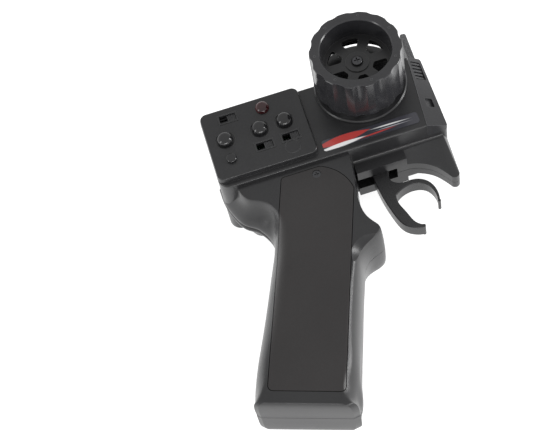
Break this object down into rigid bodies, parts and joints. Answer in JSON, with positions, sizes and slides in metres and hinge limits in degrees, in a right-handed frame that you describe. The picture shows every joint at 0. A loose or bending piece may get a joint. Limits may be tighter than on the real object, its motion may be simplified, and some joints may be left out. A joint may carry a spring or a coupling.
{
  "type": "radio transmitter controller",
  "caption": "Pistol-grip radio transmitter with a side steering wheel, a trigger, a panel of small knobs and switches, and a grip that holds its cells.",
  "frame": {"origin": "on the head's left face, under the steering wheel's axis", "axes": "+Z along the wheel's axis, out of the right side; +Y up when the grip is held upright; +X towards the front"},
  "size_m": [0.1387, 0.2045, 0.0757],
  "materials": {
    "casing": "fine grained matte",
    "panel": "smooth satin",
    "knob": "glossy",
    "wheel": "satin",
    "trim": "ribbed satin",
    "antenna": "textured",
    "lever": "satin grey",
    "lamp": "clear dark red",
    "label": null,
    "steel": "plated",
    "bronze": "sintered",
    "spring": "drawn wire",
    "board": "solder mask",
    "component": "moulded",
    "can": "tinned",
    "cell": "printed wrap",
    "tray": "matte",
    "wire_red": "soft jacket",
    "wire_black": "soft jacket",
    "diode": "clear"
  },
  "bodies": {
    "casing": {"right_shell": "casing", "left_shell": "casing", "control_panel": "panel", "front_trim": "trim", "antenna_cap": "antenna", "label_plate": "label", "wheel_collar": "panel", "steering_bush": "bronze", "steering_pot": "component", "steering_return_spring": "spring", "trigger_return_spring": "spring", "throttle_pot": "component", "tact_switch": "component", "lamp_lens": "lamp", "lamp_diode": "diode", "control_board": "board", "board_screws": "steel", "radio_module": "board", "antenna_wire": "wire_black", "steering_lead": "wire_black", "throttle_lead": "wire_black", "battery_tray": "tray", "battery_contacts": "can", "battery_lead_positive": "wire_red", "battery_lead_negative": "wire_black", "casing_screws": "steel", "steering_trim_pot": "component", "throttle_trim_pot": "component", "dual_rate_pot": "component", "power_switch": "can", "steering_reverse_switch": "can", "throttle_reverse_switch": "can", "battery_cell_1": "cell", "battery_cell_2": "cell", "battery_cell_3": "cell", "battery_cell_4": "cell"},
    "wheel": {"wheel_tyre": "wheel", "wheel_hub": "wheel", "wheel_screw": "steel", "steering_shaft": "steel"},
    "trigger": {"trigger": "wheel", "trigger_pin": "steel"},
    "door": {"battery_door": "casing", "door_screw": "steel"},
    "button": {"bind_button": "knob"},
    "steering_trim_knob": {"steering_trim_knob": "knob"},
    "throttle_trim_knob": {"throttle_trim_knob": "knob"},
    "dual_rate_knob": {"dual_rate_knob": "knob"},
    "power_lever": {"power_lever": "lever"},
    "steering_reverse_lever": {"steering_reverse_lever": "lever"},
    "throttle_reverse_lever": {"throttle_reverse_lever": "lever"}
  },
  "joints": [
    {"name": "steering", "type": "hinge", "parent": "casing", "child": "wheel", "pos_m": [0, 0, 0.06], "axis": [0, 0, 1], "range_deg": [-35, 35], "stiffness_Nm_per_rad": 0.05},
    {"name": "throttle", "type": "hinge", "parent": "casing", "child": "trigger", "pos_m": [-0.0045, -0.03, 0.02], "axis": [0, 0, 1], "range_deg": [-16, 10], "stiffness_Nm_per_rad": 0.12},
    {"name": "door_hinge", "type": "hinge", "parent": "casing", "child": "door", "pos_m": [-0.07652, -0.1552, 0.03668], "axis": [0.9426, -0.3336, -0.0125], "range_deg": [0, 40]},
    {"name": "button_press", "type": "slide", "parent": "casing", "child": "button", "axis": [0, 0, -1], "range_m": [0, 0.0008], "stiffness_N_per_m": 300},
    {"name": "steering_trim_turn", "type": "hinge", "parent": "casing", "child": "steering_trim_knob", "pos_m": [-0.0771, -0.0109, 0.048], "axis": [0, 0, 1], "range_deg": [-135, 135]},
    {"name": "throttle_trim_turn", "type": "hinge", "parent": "casing", "child": "throttle_trim_knob", "pos_m": [-0.0581, -0.0105, 0.048], "axis": [0, 0, 1], "range_deg": [-135, 135]},
    {"name": "dual_rate_turn", "type": "hinge", "parent": "casing", "child": "dual_rate_knob", "pos_m": [-0.0446, -0.01, 0.048], "axis": [0, 0, 1], "range_deg": [-135, 135]},
    {"name": "power_slide", "type": "slide", "parent": "casing", "child": "power_lever", "axis": [1, 0, 0], "range_m": [-0.004, 0]},
    {"name": "steering_reverse_slide", "type": "slide", "parent": "casing", "child": "steering_reverse_lever", "axis": [1, 0, 0], "range_m": [-0.004, 0]},
    {"name": "throttle_reverse_slide", "type": "slide", "parent": "casing", "child": "throttle_reverse_lever", "axis": [1, 0, 0], "range_m": [-0.004, 0]}
  ]
}
